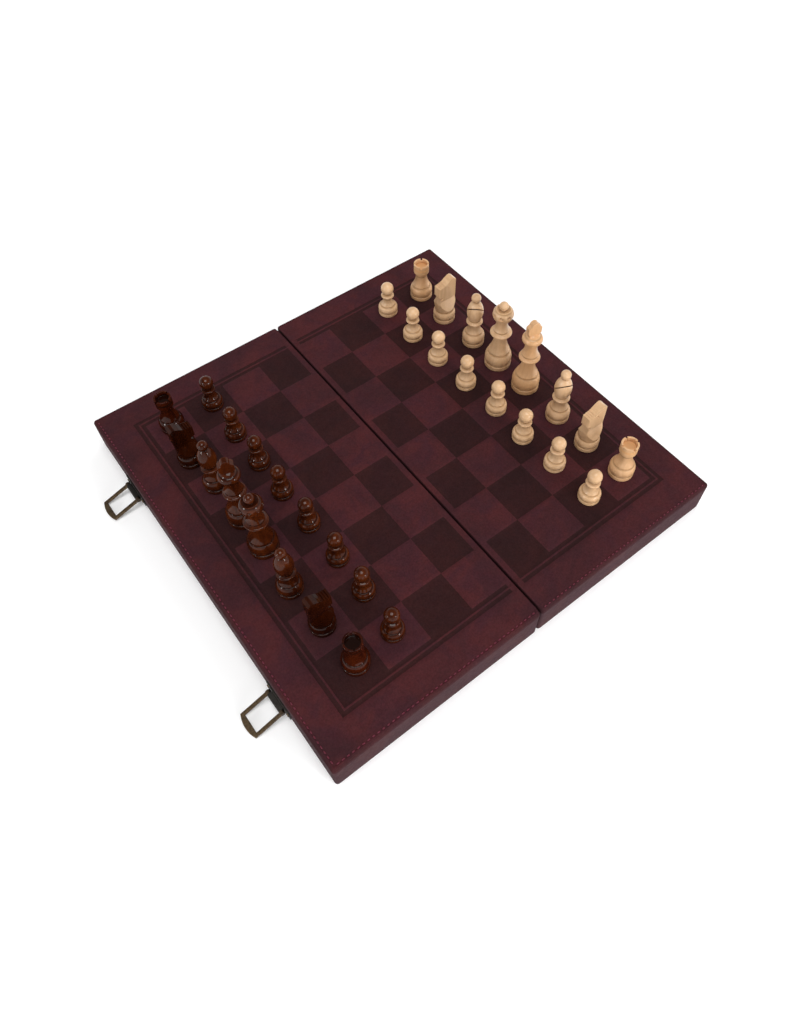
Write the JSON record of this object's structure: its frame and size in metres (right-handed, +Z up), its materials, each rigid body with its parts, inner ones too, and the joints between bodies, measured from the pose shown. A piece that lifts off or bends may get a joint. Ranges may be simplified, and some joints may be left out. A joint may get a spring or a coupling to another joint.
{
  "type": "folding travel chess set",
  "caption": "Folding leatherette chess case, open flat as a board, with bail latches, hidden seam hinges and turned wooden men standing in their starting places.",
  "frame": {"origin": "middle of the whole footprint at the level of the rims, which rest on the table", "axes": "+X from the dark side to the light side, +Y along the seam away from the front edge, +Z up"},
  "size_m": [0.3842, 0.35, 0.1053],
  "materials": {
    "leather": "burgundy leatherette with a soft sheen and faint mottling",
    "stamped_leather": "the same leatherette, heat stamped and dyed darker",
    "case_board": "plain fibreboard under the leatherette",
    "lining_cloth": "short dark flocking",
    "hinge_brass": "plain brass",
    "aged_brass": "antique brass, darker along its edges",
    "light_wood": "clear lacquer on pale turned wood",
    "dark_wood": "glossy amber mahogany lacquer on turned wood"
  },
  "bodies": {
    "left_case": {"left_long_walls": "case_board", "left_end_walls": "case_board", "left_panel": "case_board", "left_rim_band": "leather", "left_lining": "lining_cloth", "left_leather": "leather", "left_stamped_squares": "stamped_leather", "left_hinge_leaves": "hinge_brass", "left_hinge_screws": "hinge_brass", "hinge_pins": "hinge_brass", "front_latch_plate": "aged_brass", "back_latch_plate": "aged_brass", "latch_pins": "aged_brass", "latch_screws": "aged_brass"},
    "right_case": {"right_long_walls": "case_board", "right_end_walls": "case_board", "right_panel": "case_board", "right_rim_band": "leather", "right_lining": "lining_cloth", "right_leather": "leather", "right_stamped_squares": "stamped_leather", "right_hinge_leaves": "hinge_brass", "right_hinge_screws": "hinge_brass", "catches": "aged_brass", "catch_screws": "aged_brass"},
    "front_bail": {"front_latch_bail": "aged_brass"},
    "back_bail": {"back_latch_bail": "aged_brass"},
    "light_rook_front": {"light_rook_front": "light_wood"},
    "light_knight_front": {"light_knight_front": "light_wood"},
    "light_bishop_front": {"light_bishop_front": "light_wood"},
    "light_king": {"light_king": "light_wood"},
    "light_queen": {"light_queen": "light_wood"},
    "light_bishop_back": {"light_bishop_back": "light_wood"},
    "light_knight_back": {"light_knight_back": "light_wood"},
    "light_rook_back": {"light_rook_back": "light_wood"},
    "light_pawn_1": {"light_pawn_1": "light_wood"},
    "light_pawn_2": {"light_pawn_2": "light_wood"},
    "light_pawn_3": {"light_pawn_3": "light_wood"},
    "light_pawn_4": {"light_pawn_4": "light_wood"},
    "light_pawn_5": {"light_pawn_5": "light_wood"},
    "light_pawn_6": {"light_pawn_6": "light_wood"},
    "light_pawn_7": {"light_pawn_7": "light_wood"},
    "light_pawn_8": {"light_pawn_8": "light_wood"},
    "dark_rook_front": {"dark_rook_front": "dark_wood"},
    "dark_knight_front": {"dark_knight_front": "dark_wood"},
    "dark_bishop_front": {"dark_bishop_front": "dark_wood"},
    "dark_queen": {"dark_queen": "dark_wood"},
    "dark_king": {"dark_king": "dark_wood"},
    "dark_bishop_back": {"dark_bishop_back": "dark_wood"},
    "dark_knight_back": {"dark_knight_back": "dark_wood"},
    "dark_rook_back": {"dark_rook_back": "dark_wood"},
    "dark_pawn_1": {"dark_pawn_1": "dark_wood"},
    "dark_pawn_2": {"dark_pawn_2": "dark_wood"},
    "dark_pawn_3": {"dark_pawn_3": "dark_wood"},
    "dark_pawn_4": {"dark_pawn_4": "dark_wood"},
    "dark_pawn_5": {"dark_pawn_5": "dark_wood"},
    "dark_pawn_6": {"dark_pawn_6": "dark_wood"},
    "dark_pawn_7": {"dark_pawn_7": "dark_wood"},
    "dark_pawn_8": {"dark_pawn_8": "dark_wood"}
  },
  "joints": [
    {"name": "case_fold", "type": "hinge", "parent": "left_case", "child": "right_case", "pos_m": [0.0116, 0, 0], "axis": [0, 1, 0], "range_deg": [0, 180]},
    {"name": "front_bail_swing", "type": "hinge", "parent": "left_case", "child": "front_bail", "pos_m": [-0.16725, -0.1073, 0.009], "axis": [0, -1, 0], "range_deg": [-105, 72.5]},
    {"name": "back_bail_swing", "type": "hinge", "parent": "left_case", "child": "back_bail", "pos_m": [-0.16725, 0.1073, 0.009], "axis": [0, -1, 0], "range_deg": [-105, 72.5]},
    {"name": "light_rook_front_lift", "type": "slide", "parent": "right_case", "child": "light_rook_front", "axis": [0, 0, 1], "range_m": [0, 0.1]},
    {"name": "light_knight_front_lift", "type": "slide", "parent": "right_case", "child": "light_knight_front", "axis": [0, 0, 1], "range_m": [0, 0.1]},
    {"name": "light_bishop_front_lift", "type": "slide", "parent": "right_case", "child": "light_bishop_front", "axis": [0, 0, 1], "range_m": [0, 0.1]},
    {"name": "light_king_lift", "type": "slide", "parent": "right_case", "child": "light_king", "axis": [0, 0, 1], "range_m": [0, 0.1]},
    {"name": "light_queen_lift", "type": "slide", "parent": "right_case", "child": "light_queen", "axis": [0, 0, 1], "range_m": [0, 0.1]},
    {"name": "light_bishop_back_lift", "type": "slide", "parent": "right_case", "child": "light_bishop_back", "axis": [0, 0, 1], "range_m": [0, 0.1]},
    {"name": "light_knight_back_lift", "type": "slide", "parent": "right_case", "child": "light_knight_back", "axis": [0, 0, 1], "range_m": [0, 0.1]},
    {"name": "light_rook_back_lift", "type": "slide", "parent": "right_case", "child": "light_rook_back", "axis": [0, 0, 1], "range_m": [0, 0.1]},
    {"name": "light_pawn_1_lift", "type": "slide", "parent": "right_case", "child": "light_pawn_1", "axis": [0, 0, 1], "range_m": [0, 0.1]},
    {"name": "light_pawn_2_lift", "type": "slide", "parent": "right_case", "child": "light_pawn_2", "axis": [0, 0, 1], "range_m": [0, 0.1]},
    {"name": "light_pawn_3_lift", "type": "slide", "parent": "right_case", "child": "light_pawn_3", "axis": [0, 0, 1], "range_m": [0, 0.1]},
    {"name": "light_pawn_4_lift", "type": "slide", "parent": "right_case", "child": "light_pawn_4", "axis": [0, 0, 1], "range_m": [0, 0.1]},
    {"name": "light_pawn_5_lift", "type": "slide", "parent": "right_case", "child": "light_pawn_5", "axis": [0, 0, 1], "range_m": [0, 0.1]},
    {"name": "light_pawn_6_lift", "type": "slide", "parent": "right_case", "child": "light_pawn_6", "axis": [0, 0, 1], "range_m": [0, 0.1]},
    {"name": "light_pawn_7_lift", "type": "slide", "parent": "right_case", "child": "light_pawn_7", "axis": [0, 0, 1], "range_m": [0, 0.1]},
    {"name": "light_pawn_8_lift", "type": "slide", "parent": "right_case", "child": "light_pawn_8", "axis": [0, 0, 1], "range_m": [0, 0.1]},
    {"name": "dark_rook_front_lift", "type": "slide", "parent": "left_case", "child": "dark_rook_front", "axis": [0, 0, 1], "range_m": [0, 0.1]},
    {"name": "dark_knight_front_lift", "type": "slide", "parent": "left_case", "child": "dark_knight_front", "axis": [0, 0, 1], "range_m": [0, 0.1]},
    {"name": "dark_bishop_front_lift", "type": "slide", "parent": "left_case", "child": "dark_bishop_front", "axis": [0, 0, 1], "range_m": [0, 0.1]},
    {"name": "dark_queen_lift", "type": "slide", "parent": "left_case", "child": "dark_queen", "axis": [0, 0, 1], "range_m": [0, 0.1]},
    {"name": "dark_king_lift", "type": "slide", "parent": "left_case", "child": "dark_king", "axis": [0, 0, 1], "range_m": [0, 0.1]},
    {"name": "dark_bishop_back_lift", "type": "slide", "parent": "left_case", "child": "dark_bishop_back", "axis": [0, 0, 1], "range_m": [0, 0.1]},
    {"name": "dark_knight_back_lift", "type": "slide", "parent": "left_case", "child": "dark_knight_back", "axis": [0, 0, 1], "range_m": [0, 0.1]},
    {"name": "dark_rook_back_lift", "type": "slide", "parent": "left_case", "child": "dark_rook_back", "axis": [0, 0, 1], "range_m": [0, 0.1]},
    {"name": "dark_pawn_1_lift", "type": "slide", "parent": "left_case", "child": "dark_pawn_1", "axis": [0, 0, 1], "range_m": [0, 0.1]},
    {"name": "dark_pawn_2_lift", "type": "slide", "parent": "left_case", "child": "dark_pawn_2", "axis": [0, 0, 1], "range_m": [0, 0.1]},
    {"name": "dark_pawn_3_lift", "type": "slide", "parent": "left_case", "child": "dark_pawn_3", "axis": [0, 0, 1], "range_m": [0, 0.1]},
    {"name": "dark_pawn_4_lift", "type": "slide", "parent": "left_case", "child": "dark_pawn_4", "axis": [0, 0, 1], "range_m": [0, 0.1]},
    {"name": "dark_pawn_5_lift", "type": "slide", "parent": "left_case", "child": "dark_pawn_5", "axis": [0, 0, 1], "range_m": [0, 0.1]},
    {"name": "dark_pawn_6_lift", "type": "slide", "parent": "left_case", "child": "dark_pawn_6", "axis": [0, 0, 1], "range_m": [0, 0.1]},
    {"name": "dark_pawn_7_lift", "type": "slide", "parent": "left_case", "child": "dark_pawn_7", "axis": [0, 0, 1], "range_m": [0, 0.1]},
    {"name": "dark_pawn_8_lift", "type": "slide", "parent": "left_case", "child": "dark_pawn_8", "axis": [0, 0, 1], "range_m": [0, 0.1]}
  ]
}
